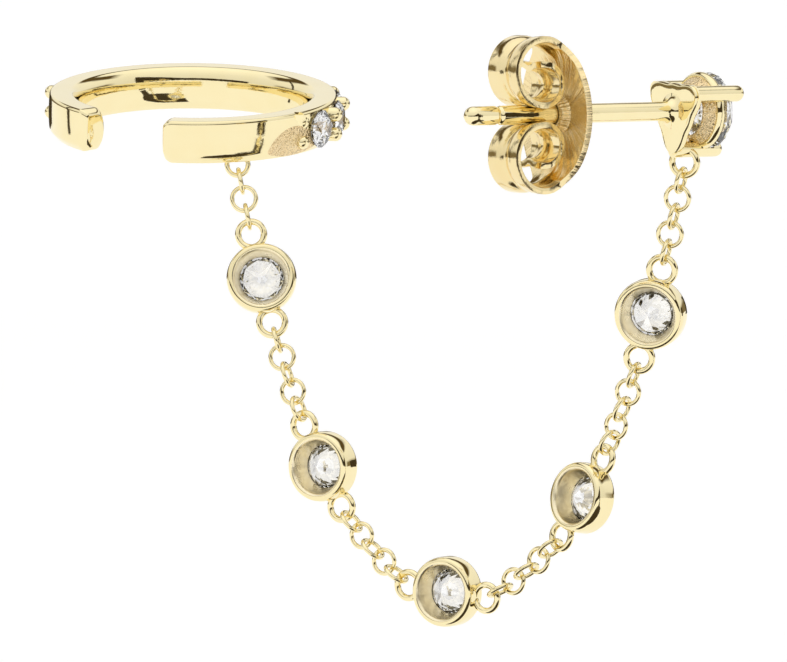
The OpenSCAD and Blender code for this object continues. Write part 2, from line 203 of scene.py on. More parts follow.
def add_plate_strokes(material):
    """Gives the friction back's plate satin strokes that run out from the post."""
    tree = material.node_tree
    shader = next(n for n in tree.nodes if n.type == "BSDF_PRINCIPLED")
    surface = next(n for n in tree.nodes if n.type == "GROUP").outputs
    where = add_node(tree, "ShaderNodeTexCoord").outputs["Object"]
    parts = add_node(tree, "ShaderNodeSeparateXYZ", [("Vector", where)])
    plate = add_node(tree, "ShaderNodeMapRange", [("Value", parts.outputs["Y"])],
                     From_Min=PLATE_REAR_Y, From_Max=PLATE_FRONT_Y).outputs["Result"]
    flat = add_node(tree, "ShaderNodeVectorMath", [(0, where), (1, (1, 0, 1))], operation="MULTIPLY")
    unit = add_node(tree, "ShaderNodeVectorMath", [(0, flat.outputs["Vector"])], operation="NORMALIZE")
    strokes = add_node(tree, "ShaderNodeTexNoise", [("Vector", unit.outputs["Vector"])],
                       Scale=9.0, Detail=5.0)
    height = add_node(tree, "ShaderNodeMath", [(0, strokes.outputs["Fac"]), (1, plate)],
                      operation="MULTIPLY")
    bump = add_node(tree, "ShaderNodeBump", [
        ("Height", height.outputs["Value"]), ("Normal", surface["Normal"])], Strength=0.55, Distance=0.0003)
    rough = add_node(tree, "ShaderNodeMath", [(0, plate), (1, STROKE_ROUGH), (2, surface["Roughness"])],
                     operation="MULTIPLY_ADD")
    tint = mixed_colour(tree, plate, surface["Colour"], STROKE_COLOUR)
    tree.links.new(tint, shader.inputs["Base Color"])
    tree.links.new(rough.outputs["Value"], shader.inputs["Roughness"])
    tree.links.new(bump.outputs["Normal"], shader.inputs["Normal"])


polished = gold("gold_polished", light=(0.97, 0.86, 0.54), deep=(0.94, 0.81, 0.46), wave=0.03, grain=0.05,
                rough_low=0.02, rough_high=0.06)
pressed = gold("gold_pressed", light=(0.95, 0.81, 0.48), deep=(0.88, 0.70, 0.35), wave=0.25, grain=0.2,
               rough_low=0.05, rough_high=0.14, wave_scale=700.0)
raw_cut = gold("gold_raw_cut", light=(1.0, 0.83, 0.51), deep=(0.90, 0.66, 0.34), wave=0.6, grain=1.0,
               rough_low=0.15, rough_high=0.32, wave_scale=8000.0)
bored = gold("gold_bored", light=(1.0, 0.90, 0.64), deep=(0.98, 0.86, 0.58), wave=0.05, grain=0.4,
             rough_low=0.22, rough_high=0.34)
add_plate_strokes(pressed)
print("gold finishes:", polished.name, pressed.name, raw_cut.name, bored.name)

# %% [markdown]
# ## The stones
# A brilliant looks white because light bends sharply in it and comes back through its facets. The shader is
# clear with diamond's index of refraction, 2.42. The facets themselves do the rest, so they stay flat.

# %% Material: stone
def stone_material():
    material, tree = new_material("brilliant_stone")
    where = add_node(tree, "ShaderNodeTexCoord").outputs["Object"]
    dust = add_node(tree, "ShaderNodeTexNoise", [("Vector", where)], Scale=2500.0, Detail=3.0)
    haze = add_node(tree, "ShaderNodeMapRange", [("Value", dust.outputs["Fac"])],
                    From_Min=0.45, From_Max=0.8, To_Max=0.012)
    add_shader(tree, [("Roughness", haze.outputs["Result"])], Base_Color=(1, 1, 1, 1), IOR=2.42,
               Transmission_Weight=1.0)
    return material


stone = stone_material()
print("stone finish:", stone.name)

# %% [markdown]
# ## Shapes
# A jeweller turns, bends and solders. So the pieces come from three moves: turning a profile about an axis,
# carrying a section along a path, and setting a finished shape in its place. A shape is a list of corners
# in millimetres and a list of faces, until it becomes a Blender mesh.

# %% Outlines
def softened(corners, steps=5):
    """A closed outline from (x, y, radius) corners, each rounded by a short curve."""
    outline = []
    count = len(corners)
    for i, (x, y, radius) in enumerate(corners):
        here = np.array((x, y), float)
        if radius <= 0:
            outline.append(tuple(here))
            continue
        ends = []
        for other in (corners[i - 1], corners[(i + 1) % count]):
            way = np.array(other[:2], float) - here
            length = np.linalg.norm(way)
            ends.append(here + way / length * min(radius, 0.49 * length))
        start, end = ends
        for t in np.linspace(0, 1, steps + 1):
            outline.append(tuple((1 - t) ** 2 * start + 2 * t * (1 - t) * here + t * t * end))
    return outline


def circle_outline(radius, steps=16):
    """A closed round outline."""
    angles = np.linspace(0, 2 * math.pi, steps, endpoint=False)
    return [(radius * math.cos(a), radius * math.sin(a)) for a in angles]


# %% Turned and carried shapes
def grid_faces(rows, columns, close_rows=False, close_columns=True):
    """The faces between the rows of a grid of corners."""
    return [(i * columns + j, i * columns + (j + 1) % columns,
             (i + 1) % rows * columns + (j + 1) % columns, (i + 1) % rows * columns + j)
            for i in range(rows if close_rows else rows - 1)
            for j in range(columns if close_columns else columns - 1)]


def tube_faces(rows, columns):
    """The faces of a tube of closed rows, with a face over each end."""
    ends = [tuple(range(columns)), tuple(range((rows - 1) * columns, rows * columns))]
    return grid_faces(rows, columns) + ends


def turned(profile, steps=96):
    """A closed profile of (radius, height) points turned about the Z axis."""
    angles = np.linspace(0, 2 * math.pi, steps, endpoint=False)
    corners = np.array([(r * math.cos(a), r * math.sin(a), h) for a in angles for r, h in profile])
    return corners, grid_faces(steps, len(profile), close_rows=True)


def carried(path, sections, sideways):
    """Sections of (side, out) points carried along a path, with closed ends.
    sideways gives each point's side direction. Out is square to it and to the path."""
    path = np.array(path, float)
    ahead = np.gradient(path, axis=0)
    ahead /= np.linalg.norm(ahead, axis=1)[:, None]
    sideways = np.array(sideways, float)
    out = np.cross(ahead, sideways)
    out /= np.linalg.norm(out, axis=1)[:, None]
    corners = []
    for p, s, o, section in zip(path, sideways, out, sections):
        corners += [p + s * u + o * v for u, v in section]
    return np.array(corners), tube_faces(len(path), len(sections[0]))


# %% Moved and joined shapes
def turn(axis, degrees):
    """A turn about one axis."""
    return Matrix.Rotation(math.radians(degrees), 4, axis)


FACE_Y = turn("X", -90)


def placed(shape, matrix):
    """The shape moved by a 4 x 4 matrix."""
    corners, faces = shape
    m = np.array(matrix)
    return corners @ m[:3, :3].T + m[:3, 3], faces


def together(*shapes):
    """Several shapes as one list of corners and faces."""
    corners, faces, start = [], [], 0
    for points, sides in shapes:
        corners.append(points)
        faces += [tuple(start + i for i in side) for side in sides]
        start += len(points)
    return np.concatenate(corners), faces


# %% Pieces from shapes
def finish_mesh(mesh, sharp_angle):
    """Merges doubled corners, turns all faces outwards and shades smooth between the sharp edges."""
    work = bmesh.new()
    work.from_mesh(mesh)
    bmesh.ops.remove_doubles(work, verts=work.verts, dist=1e-7)
    bmesh.ops.recalc_face_normals(work, faces=work.faces)
    work.to_mesh(mesh)
    work.free()
    mesh.shade_smooth()
    mesh.set_sharp_from_angle(angle=math.radians(sharp_angle))


def new_piece(name, shape, material, sharp_angle=40):
    """A Blender object from a shape in millimetres."""
    mesh = bpy.data.meshes.new(name)
    mesh.from_pydata([tuple(p * MM) for p in shape[0]], [], shape[1])
    mesh.materials.append(material)
    finish_mesh(mesh, sharp_angle)
    piece = bpy.data.objects.new(name, mesh)
    scene.collection.objects.link(piece)
    return piece


def plain_mesh(piece, sharp_angle=None):
    """Applies a piece's modifiers, so that only its mesh is left."""
    graph = bpy.context.evaluated_depsgraph_get()
    mesh = bpy.data.meshes.new_from_object(piece.evaluated_get(graph))
    piece.modifiers.clear()
    piece.data = mesh
    if sharp_angle is not None:
        finish_mesh(mesh, sharp_angle)
    return piece


def cut_with(piece, shape, material, sharp_angle=40):
    """Cuts a shape out of a piece. The cut faces take the cutter's material."""
    cutter = new_piece(piece.name + "_cutter", shape, material)
    cut = piece.modifiers.new("cut", "BOOLEAN")
    cut.object = cutter
    cut.operation = "DIFFERENCE"
    cut.solver = "EXACT"
    cut.use_self = True
    cut.material_mode = "TRANSFER"
    plain_mesh(piece, sharp_angle)
    bpy.data.objects.remove(cutter)
    return piece


def hand_in(piece, body, slot, *nodes):
    """Tells the frame which body the piece moves with and the solids it stands for. The slot argument is
    not used.
    """
    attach(piece, body)
    if nodes:
        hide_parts(*nodes)
    piece.data.calc_loop_triangles()
    print(piece.name, len(piece.data.loop_triangles), "triangles")


# %% [markdown]
# ## Where things are
# The solid model already hangs as it should, so the finished pieces read their places from it. A ring's
# axis is the direction in which its corners spread least, and a bezel's line the one of widest spread.

# %% Places of the solids
def solid_points(node):
    """The corners of one of the frame's solids, in millimetres."""
    mesh = frame["nodes"][node].data
    corners = np.empty(3 * len(mesh.vertices))
    mesh.vertices.foreach_get("co", corners)
    return corners.reshape(-1, 3) / MM


def middle_and_axes(points):
    """The middle of some points and their three main directions, the widest spread first."""
    _, _, axes = np.linalg.svd(points - points.mean(axis=0), full_matrices=False)
    along = points @ axes.T
    return (along.max(axis=0) + along.min(axis=0)) / 2 @ axes, axes


def frame_matrix(middle, x_axis, y_axis):
    """A matrix that puts a shape at a place, with its X and Y axes along the two directions."""
    x = Vector(x_axis).normalized()
    y = (Vector(y_axis) - x * x.dot(Vector(y_axis))).normalized()
    return Matrix.Translation(Vector(middle)) @ Matrix((x, y, x.cross(y))).transposed().to_4x4()


links = sorted(n for n in frame["nodes"] if n.startswith("link_"))
bezels = sorted(n for n in frame["nodes"] if n.startswith("bezel_") and "stone" not in n)
ring_places = [middle_and_axes(solid_points(n)) for n in links]
print("links:", len(links), "bezels:", len(bezels))

# %% [markdown]
# ## The chain's links
# All links are the same small ring of round wire, so one ring is made and Geometry Nodes set it at every
# link's place. The places are the corners of a mesh without faces, and each corner keeps its ring's turn.
# The wire is a little uneven, as on links that are closed and soldered one by one.

# %% Node trees: start and end
def new_tree(name, inputs):
    """An empty Geometry Nodes tree with named number inputs and a material input."""
    tree = bpy.data.node_groups.new(name, "GeometryNodeTree")
    add_socket(tree, "Geometry", "Geometry")
    for label, value in inputs:
        add_socket(tree, label, "Float", value)
    add_socket(tree, "Material", "Material")
    add_socket(tree, "Geometry", "Geometry", side="OUTPUT")
    return tree, tree.nodes.new("NodeGroupInput").outputs, tree.nodes.new("NodeGroupOutput").inputs


def set_on_points(tree, given, made, shape):
    """Ends a tree: the shape on every point, turned by the point's own turn, as a mesh with a material."""
    turns = add_node(tree, "GeometryNodeInputNamedAttribute", data_type="QUATERNION", Name="turn")
    own_turn = next(s for s in turns.outputs if s.enabled and s.name == "Attribute")
    copies = add_node(tree, "GeometryNodeInstanceOnPoints", [
        ("Points", given["Geometry"]), ("Instance", shape), ("Rotation", own_turn)])
    real = add_node(tree, "GeometryNodeRealizeInstances", [("Geometry", copies.outputs["Instances"])])
    smooth = add_node(tree, "GeometryNodeSetShadeSmooth", [("Geometry", real.outputs["Geometry"])])
    finish = add_node(tree, "GeometryNodeSetMaterial", [
        ("Geometry", smooth.outputs["Geometry"]), ("Material", given["Material"])])
    tree.links.new(finish.outputs["Geometry"], made["Geometry"])


def points_piece(name, places):
    """A mesh of loose corners, one for each place matrix, that keep their turns in an attribute."""
    mesh = bpy.data.meshes.new(name)
    mesh.from_pydata([tuple(m.translation * MM) for m in places], [], [])
    turns = mesh.attributes.new("turn", "QUATERNION", "POINT")
    turns.data.foreach_set("value", [v for m in places for v in m.to_quaternion()])
    piece = bpy.data.objects.new(name, mesh)
    scene.collection.objects.link(piece)
    return piece


def grown(piece, tree, values):
    """Runs a Geometry Nodes tree on a piece with its inputs set by name, and keeps the plain mesh."""
    modifier = piece.modifiers.new("grow", "NODES")
    modifier.node_group = tree
    for item in tree.interface.items_tree:
        if item.in_out == "INPUT" and item.name in values:
            modifier[item.identifier] = values[item.name]
    plain_mesh(piece)
    if "turn" in piece.data.attributes:
        piece.data.attributes.remove(piece.data.attributes["turn"])
    return piece


# %% Chain links
LINK_D = 1.145
LINK_WIRE = 0.18


def link_tree():
    tree, given, made = new_tree("chain links", [
        ("Ring Radius", 0.48 * MM), ("Wire Radius", 0.09 * MM), ("Unevenness", 0.1)])
    ring = add_node(tree, "GeometryNodeCurvePrimitiveCircle", [("Radius", given["Ring Radius"])],
                    Resolution=48)
    wire = add_node(tree, "GeometryNodeCurvePrimitiveCircle", [("Radius", given["Wire Radius"])],
                    Resolution=16)
    noise = add_node(tree, "ShaderNodeTexNoise", Scale=1600.0, Detail=1.0)
    spread = add_node(tree, "ShaderNodeMath", [(0, noise.outputs["Fac"]), (1, 0.5)], operation="SUBTRACT")
    share = add_node(tree, "ShaderNodeMath", [
        (0, spread.outputs["Value"]), (1, given["Unevenness"]), (2, 1.0)],
        operation="MULTIPLY_ADD").outputs["Value"]
    uneven = add_node(tree, "GeometryNodeSetCurveRadius", [
        ("Curve", ring.outputs["Curve"]), ("Radius", share)])
    solid = add_node(tree, "GeometryNodeCurveToMesh", [
        ("Curve", uneven.outputs["Curve"]), ("Profile Curve", wire.outputs["Curve"])])
    if "Scale" in solid.inputs:
        tree.links.new(share, solid.inputs["Scale"])
    set_on_points(tree, given, made, solid.outputs["Mesh"])
    return tree


link_places = [frame_matrix(middle, axes[0], axes[1]) for middle, axes in ring_places]
chain = points_piece("chain_links", link_places)
grown(chain, link_tree(), {"Ring Radius": (LINK_D - LINK_WIRE) / 2 * MM, "Wire Radius": LINK_WIRE / 2 * MM,
                           "Unevenness": 0.14, "Material": polished})
hand_in(chain, "earring", "gold", *links)

# %% [markdown]
# ## The bezels
# Each bezel is a cup turned on a lathe. The stone drops in from the front and the rim is rubbed over it. We
# look into the cup from behind, where a broad round lip leads to a satin cone down to the stone. Two loops
# of heavier wire are soldered to its sides. One cup is made, and copies of its mesh are set at the five
# places. A stone's point is its corner nearest to the cup's axis, and tells which way the cup faces.

# %% Bezels
BEZEL_D = 2.835
BEZEL_BACK_D = 2.7
BEZEL_HOLE_R = 0.8
BEZEL_LIP = 0.28
BEZEL_H = 1.05
BEZEL_STONE_D = 1.9
STONE_GAP = 0.02
LOOP_D = 1.31
LOOP_WIRE = 0.265
LOOP_SINK = 0.235
GIRDLE_DEPTH = 0.43
GIRDLE_T = 0.03
loop_out = BEZEL_D / 2 + LOOP_D / 2 - LOOP_SINK
bezel_girdle = GIRDLE_DEPTH * BEZEL_STONE_D + STONE_GAP
cup_place = Matrix.Translation((0, -BEZEL_H / 2, 0)) @ FACE_Y


def loop_shape(outer=LOOP_D, wire=LOOP_WIRE):
    """A soldered loop of round wire whose axis is Y."""
    ring = turned([((outer - wire) / 2 + u, v) for u, v in circle_outline(wire / 2, 20)], 56)
    return placed(ring, FACE_Y)


def bezel_shape():
    """The cup, whose back is at y = -BEZEL_H / 2, with its two loops. Its profile has (radius, height,
    rounding) corners, from the back up the outside and down past the stone."""
    wide, narrow, stone_r = BEZEL_D / 2, BEZEL_BACK_D / 2, BEZEL_STONE_D / 2
    girdle_top = bezel_girdle + GIRDLE_T * BEZEL_STONE_D
    profile = softened([
        (BEZEL_HOLE_R, 0.0, 0),
        (narrow, 0.0, 0.13),
        (wide, 0.26 * BEZEL_H, 0.2),
        (wide, 0.85 * BEZEL_H, 0.12),
        (wide - 0.14, BEZEL_H, 0.1),
        (stone_r + 0.08, BEZEL_H, 0.05),
        (stone_r - 0.05, girdle_top + 0.08, 0.03),
        (stone_r + STONE_GAP, girdle_top + STONE_GAP, 0),
        (stone_r + STONE_GAP, bezel_girdle - STONE_GAP, 0),
        (BEZEL_HOLE_R, bezel_girdle - 0.12, 0)])
    loops = [placed(loop_shape(), Matrix.Translation((side * loop_out, 0, 0))) for side in (-1, 1)]
    return together(placed(turned(profile, 128), cup_place), *loops)


def bore_shape():
    """The cutter for the cup's lip and cone, from (radius, height) points."""
    lip = BEZEL_BACK_D / 2 - BEZEL_LIP
    seat = BEZEL_STONE_D / 2 - 0.07
    profile = [(0.0, -0.2), (lip + 0.3, -0.2), (lip + 0.1, 0.0), (lip + 0.02, 0.06), (lip, 0.14),
               (seat, bezel_girdle - 0.16), (seat, bezel_girdle), (0.0, bezel_girdle)]
    return placed(turned(profile, 128), cup_place)


master_cup = cut_with(new_piece("bezel_master", bezel_shape(), polished), bore_shape(), bored)
for node in bezels:
    middle, axes = middle_and_axes(solid_points(node))
    stone_points = solid_points(node.replace("bezel_", "bezel_stone_"))
    from_axis = np.linalg.norm(np.cross(stone_points - middle, axes[2]), axis=1)
    point = stone_points[from_axis.argmin()]
    facing = axes[2] if (stone_points.mean(axis=0) - point) @ axes[2] > 0 else -axes[2]
    place = frame_matrix(middle, axes[0], facing)
    place.translation *= MM
    cup = bpy.data.objects.new("setting_of_" + node, master_cup.data.copy())
    cup.data.transform(place)
    scene.collection.objects.link(cup)
    hand_in(cup, "earring", "gold", node)
bpy.data.objects.remove(master_cup)

# %% [markdown]
# ## The cuff
# The cuff is a bar bent into an open ring. Its outside is nearly flat with filed bevels, and its inside is
# crowned, so that it slides over the ear. It is made by carrying its section along the ring. The stones'
# seats are then drilled out of it, and a flat and a small notch are cut before the first stone. The seats
# and the flat keep a satin look.

# %% Cuff: the bent bar
CUFF_R = 5.9
CUFF_WALL = 1.25
CUFF_H = 1.77
CUFF_START = -101.5
CUFF_END = 222.5
CUFF_TURN = 55
CUFF_TILT = 0.6
CUFF_LEAN = 10
TOP_BEVEL = 0.1
LOW_BEVEL = 0.28
OUTSIDE_CROWN = 0.035
INSIDE_CROWN = 0.07
INSIDE_BEVEL = 0.3
END_DOME = 0.36
END_INSET = 0.25
helix_mount = next(m for m in frame["record"]["mounts"] if m["name"] == "helix_cuff")
in_cuff = (Matrix.Translation(Vector(helix_mount["pos_m"]) / MM) @ turn("Z", CUFF_TURN)
           @ turn("Y", CUFF_TILT) @ turn("X", CUFF_LEAN))


def ring_point(radius, degrees, height=0.0):
    """A point of the cuff's ring in its own frame."""
    return (radius * math.cos(math.radians(degrees)), radius * math.sin(math.radians(degrees)), height)


def cuff_section(half_w, half_h):
    """The bar's section in (outwards, downwards, rounding) corners: a broad bevel below, a narrow one
    above, a slight crown outside and a deeper one inside."""
    face = half_w - OUTSIDE_CROWN
    inside = INSIDE_CROWN - half_w
    return softened([
        (face, half_h - LOW_BEVEL, 0.12),
        (half_w - LOW_BEVEL, half_h, 0.06),
        (INSIDE_BEVEL - half_w, half_h, 0.14),
        (inside, half_h - INSIDE_BEVEL, 0.22),
        (-half_w, 0.0, 0.28),
        (inside, INSIDE_BEVEL - half_h, 0.22),
        (INSIDE_BEVEL - half_w, -half_h, 0.14),
        (half_w - TOP_BEVEL, -half_h, 0.05),
        (face, TOP_BEVEL - half_h, 0.06),
        (half_w, 0.0, 0.42)], 6)


def cuff_band():
    """The section carried along the ring and drawn in at both ends into a low dome."""
    middle_r = CUFF_R - CUFF_WALL / 2
    total = math.radians(CUFF_END - CUFF_START) * middle_r
    near_end = END_DOME * (0.5 - 0.5 * np.cos(np.linspace(0, math.pi, 15)))
    between = np.linspace(END_DOME, total - END_DOME, 180)[1:-1]
    path, sections, sideways = [], [], []
    for s in np.concatenate([near_end, between, total - near_end[::-1]]):
        degrees = CUFF_START + math.degrees(s / middle_r)
        share = max(0.0, 1 - min(s, total - s) / END_DOME)
        inset = END_INSET * (1 - (1 - share ** 1.6) ** (1 / 1.6))
        path.append(ring_point(middle_r, degrees))
        sideways.append(ring_point(1.0, degrees))
        sections.append(cuff_section(CUFF_WALL / 2 - 0.8 * inset, CUFF_H / 2 - inset))
    return carried(path, sections, sideways)


cuff = new_piece("cuff_band", placed(cuff_band(), in_cuff), polished)

# %% Cuff: seats, flat and notch
CUFF_STONES = 10
CUFF_STONE_D = 1.55
CUFF_STONE_OUT = 0.03
FIRST_STONE = -28
STONE_PITCH = 20
FLAT_AT = -47
FLAT_TOP = 0.45
FLAT_LEAN = 11.0
FLAT_TURN = 2.4
FLAT_LOW = (0, -2, -2)
FLAT_HIGH = (1, 2, 0.3)
NOTCH_AT = -42
NOTCH_HEIGHT = 0.78
NOTCH_OUT = 0.02


def on_ring(radius, degrees, height=0.0):
    """A place on the cuff's ring whose Z axis points out of the band."""
    return in_cuff @ turn("Z", degrees) @ Matrix.Translation((radius, 0, height)) @ turn("Y", 90)


def seat_shape():
    """The cutter for a stone's seat, from (radius, height) points. The girdle starts at height 0."""
    r = CUFF_STONE_D / 2 + STONE_GAP
    depth = GIRDLE_DEPTH * CUFF_STONE_D + STONE_GAP
    return turned([(0.0, -depth), (r, -STONE_GAP), (r + 0.06, 1.0), (0.0, 1.0)], 40)


def box_shape(low, high):
    """A box between two corners."""
    corners = [(x, y, z) for x in (low[0], high[0]) for y in (low[1], high[1]) for z in (low[2], high[2])]
    faces = [(0, 1, 3, 2), (4, 6, 7, 5), (0, 4, 5, 1), (2, 3, 7, 6), (0, 2, 6, 4), (1, 5, 7, 3)]
    return np.array(corners), faces


seats = [placed(seat_shape(), on_ring(CUFF_R + CUFF_STONE_OUT, FIRST_STONE + i * STONE_PITCH))
         for i in range(CUFF_STONES)]
cut_with(cuff, together(*seats), raw_cut)
flat_place = (in_cuff @ turn("Z", FLAT_AT) @ Matrix.Translation((CUFF_R, 0, FLAT_TOP))
              @ turn("Z", FLAT_TURN) @ turn("Y", FLAT_LEAN))
cut_with(cuff, placed(box_shape(FLAT_LOW, FLAT_HIGH), flat_place), raw_cut)
four_sided_point = turned([(0.0, -0.5), (0.5, 0.2), (0.0, 0.2)], 4)
cut_with(cuff, placed(four_sided_point, on_ring(CUFF_R + NOTCH_OUT, NOTCH_AT, NOTCH_HEIGHT)), polished)

# %% [markdown]
# ## The cuff's prongs
# Pairs of small round posts between the stones hold them. All are the same shape, so a Geometry Nodes tree
# makes one and sets it at each place. It starts from a ball and moves the ball's lower half down, which
# leaves a round tip on a straight side. The first pair is filed lower than the others.

# %% Node tree and prongs
PRONG_R = 0.3
PRONG_FOOT = 0.6
PRONG_TIP = CUFF_R + 0.5
PRONG_SPREAD = 0.41
FIRST_PRONG_SINK = 0.42


def prong_tree():
    tree, given, made = new_tree("cuff prongs", [("Radius", 0.3 * MM), ("Height", 0.7 * MM)])
    ball = add_node(tree, "GeometryNodeMeshUVSphere", [("Radius", given["Radius"])], Segments=24, Rings=14)
    where = tree.nodes.new("GeometryNodeInputPosition")
    parts = add_node(tree, "ShaderNodeSeparateXYZ", [("Vector", where.outputs["Position"])])
    below = add_node(tree, "FunctionNodeCompare", [(0, parts.outputs["Z"]), (1, 0.0)], data_type="FLOAT",
                     operation="LESS_THAN")
    down = add_node(tree, "ShaderNodeMath", [(0, given["Height"]), (1, -1.0)], operation="MULTIPLY")
    shift = add_node(tree, "ShaderNodeCombineXYZ", [("Z", down.outputs["Value"])])
    prong = add_node(tree, "GeometryNodeSetPosition", [
        ("Geometry", ball.outputs["Mesh"]), ("Selection", below.outputs["Result"]),
        ("Offset", shift.outputs["Vector"])])
    set_on_points(tree, given, made, prong.outputs["Geometry"])
    return tree


prong_places = []
for i in range(CUFF_STONES + 1):
    radius = PRONG_TIP - PRONG_R - (FIRST_PRONG_SINK if i == 0 else 0.0)
    degrees = FIRST_STONE + (i - 0.5) * STONE_PITCH
    prong_places += [on_ring(radius, degrees, height) for height in (-PRONG_SPREAD, PRONG_SPREAD)]
cuff_prongs = points_piece("cuff_prongs", prong_places)
grown(cuff_prongs, prong_tree(), {"Radius": PRONG_R * MM, "Height": PRONG_FOOT * MM, "Material": polished})

# %% [markdown]
# ## Loops on the chain's line
# The stud and the cuff each carry one soldered loop. A loop hangs in the chain's own upright plane and is
# rolled about the chain's line by a chosen angle.

# %% Loops of the stud and the cuff
CHAIN_TURN = math.radians(23)
CUFF_LOOP_D = 1.05
CUFF_LOOP_WIRE = 0.2
CUFF_LOOP_AT = -69
CUFF_LOOP_DROP = 0.19
CUFF_LOOP_ROLL = 32
STUD_LOOP_ROLL = -10
STUD_LOOP = Vector((-0.0801, 0.68, -2.045))
chain_side = Vector((-math.sin(CHAIN_TURN), math.cos(CHAIN_TURN), 0))
cuff_loop_at = in_cuff @ Vector(ring_point(CUFF_R - CUFF_WALL / 2, CUFF_LOOP_AT,
                                           -CUFF_H / 2 - CUFF_LOOP_DROP))


def hung_loop(loop, at, along, roll):
    """A loop at a place on the chain, rolled about the chain's line, which runs from stud to cuff."""
    square = Matrix.Rotation(math.radians(roll), 3, along.normalized()) @ chain_side
    return placed(loop, frame_matrix(at, along, square))


to_cuff = cuff_loop_at - Vector(ring_places[-1][0])
cuff_loop = new_piece("cuff_loop", hung_loop(loop_shape(CUFF_LOOP_D, CUFF_LOOP_WIRE), cuff_loop_at, to_cuff,
                                             CUFF_LOOP_ROLL), polished)
for piece in (cuff, cuff_prongs, cuff_loop):
    hand_in(piece, "earring", "gold", "cuff")

# %% [markdown]
# ## The stud
# The stud's head is a three-lobed plate with three prongs and a gallery ring, cast in one and polished. The
# post is soldered to its back. The plate's outline blends three round arms, so its edge is found along each
# ray from the middle.

# %% Stud: the plate
PRONG_ANGLES = (-93, 27, 147)
PLATE_T = 0.35
PLATE_SIDE_R = 1.12
PLATE_LOBE_R = 1.72
PLATE_SOFT = 0.11


def plate_edge(angle):
    """Distance from the middle to the plate's edge along a ray: a triangle with round lobes."""
    lobe = (1 + math.cos(3 * (angle - math.radians(PRONG_ANGLES[1])))) / 2
    return PLATE_SIDE_R + (PLATE_LOBE_R - PLATE_SIDE_R) * lobe ** 2


def plate_shape():
    """The outline at several heights, drawn in towards both faces so that the edge is round."""
    angles = np.linspace(0, 2 * math.pi, 180, endpoint=False)
    edge = np.array([plate_edge(a) for a in angles])
    quarter = np.linspace(0, math.pi / 2, 6)
    layers = [(edge - inset, 0.0) for inset in (0.6, 0.3, PLATE_SOFT)]
    for t in quarter[1:]:
        layers.append((edge - PLATE_SOFT * (1 - math.sin(t)), PLATE_SOFT * (1 - math.cos(t))))
    for t in quarter:
        height = PLATE_T - PLATE_SOFT * (1 - math.sin(t))
        layers.append((edge - PLATE_SOFT * (1 - math.cos(t)), height))
    layers.append((edge - 0.3, PLATE_T))
    corners = [(r * math.cos(a), y, r * math.sin(a)) for radii, y in layers for r, a in zip(radii, angles)]
    return np.array(corners), tube_faces(len(layers), len(angles))


# %% Stud: prongs, gallery and seat
STUD_STONE_D = 3.0
GIRDLE_Y = 1.77
PRONG_WIRE = 0.65
PRONG_START = 0.1
PRONG_END = 2.4
PRONG_AT = STUD_STONE_D / 2 + 0.03
TABLE_SHARE = 0.28
CROWN_SHARE = 0.18
# The gallery's two rings have (radius, height, rounding) corners.
GALLERY_CONE = [(0.95, 0.78, 0.04), (1.08, 0.75, 0.04), (1.38, 1.22, 0.03), (1.22, 1.32, 0.04)]
GALLERY_RIM = [(1.2, 1.24, 0.03), (1.42, 1.16, 0.06), (1.53, 1.28, 0.08), (1.53, 1.48, 0.08),
               (1.38, 1.57, 0.06), (1.22, 1.42, 0.03)]


def rod_shape(path, radii, sideways, steps=24):
    """A round rod along a path with a radius at each point."""
    sections = [[(r * u, r * v) for u, v in circle_outline(1.0, steps)] for r in radii]
    return carried(path, sections, [sideways] * len(path))


def stud_prong(degrees):
    """A straight round wire with a rounded tip that leans slightly inwards."""
    out = np.array((math.cos(math.radians(degrees)), 0, math.sin(math.radians(degrees))))
    side = np.cross(out, (0, 1, 0))
    r = PRONG_WIRE / 2
    tip = 0.8 * r
    straight = PRONG_END - tip
    path = [out * PRONG_AT + np.array((0, y, 0)) for y in np.linspace(PRONG_START, straight, 8)]
    radii = [r] * len(path)
    for t in np.linspace(0, math.pi / 2, 9)[1:]:
        lean = out * (PRONG_AT - 0.05 * math.sin(t))
        path.append(lean + np.array((0, straight + tip * math.sin(t), 0)))
        radii.append(max(0.004, r * math.cos(t) ** 0.8))
    return rod_shape(path, radii, side)


def gallery_shape(profile):
    return placed(turned(softened(profile, 4), 96), FACE_Y)


def stone_seat():
    """The cutter for the stud's stone: the stone's own outline, a little larger."""
    r, gap = STUD_STONE_D / 2, STONE_GAP
    top = CROWN_SHARE * STUD_STONE_D + gap
    profile = [(0.0, -GIRDLE_DEPTH * STUD_STONE_D - gap), (r + gap, -gap),
               (r + gap, GIRDLE_T * STUD_STONE_D + gap), (TABLE_SHARE * STUD_STONE_D + gap, top),
               (0.0, top)]
    return placed(turned(profile, 64), Matrix.Translation((0, GIRDLE_Y, 0)) @ FACE_Y)


# %% Stud: the post and all its pieces
POST_R = 0.38
POST_LENGTH = 10.0
FILLET_WIDTH = 0.34
FILLET_FALL = 0.12
POST_NOTCH = 1.5
POST_NOTCH_DEPTH = 0.07
POST_NOTCH_HALF = 0.16


def post_shape():
    """The post with its solder fillet, the notch near its end and its round tip."""
    profile = [(0.0, 0.3), (POST_R, 0.3)]
    profile += [(POST_R + FILLET_WIDTH * math.exp(-d / FILLET_FALL), -d) for d in np.linspace(0, 0.7, 14)]
    for t in np.linspace(-1, 1, 13):
        depth = POST_NOTCH_DEPTH * (0.5 + 0.5 * math.cos(math.pi * t))
        profile.append((POST_R - depth, POST_NOTCH - POST_LENGTH - POST_NOTCH_HALF * t))
    tip = POST_LENGTH - POST_R
    profile += [(POST_R * math.cos(t), -tip - POST_R * math.sin(t))
                for t in np.linspace(0, math.pi / 2, 12)]
    return placed(turned(profile, 64), FACE_Y)


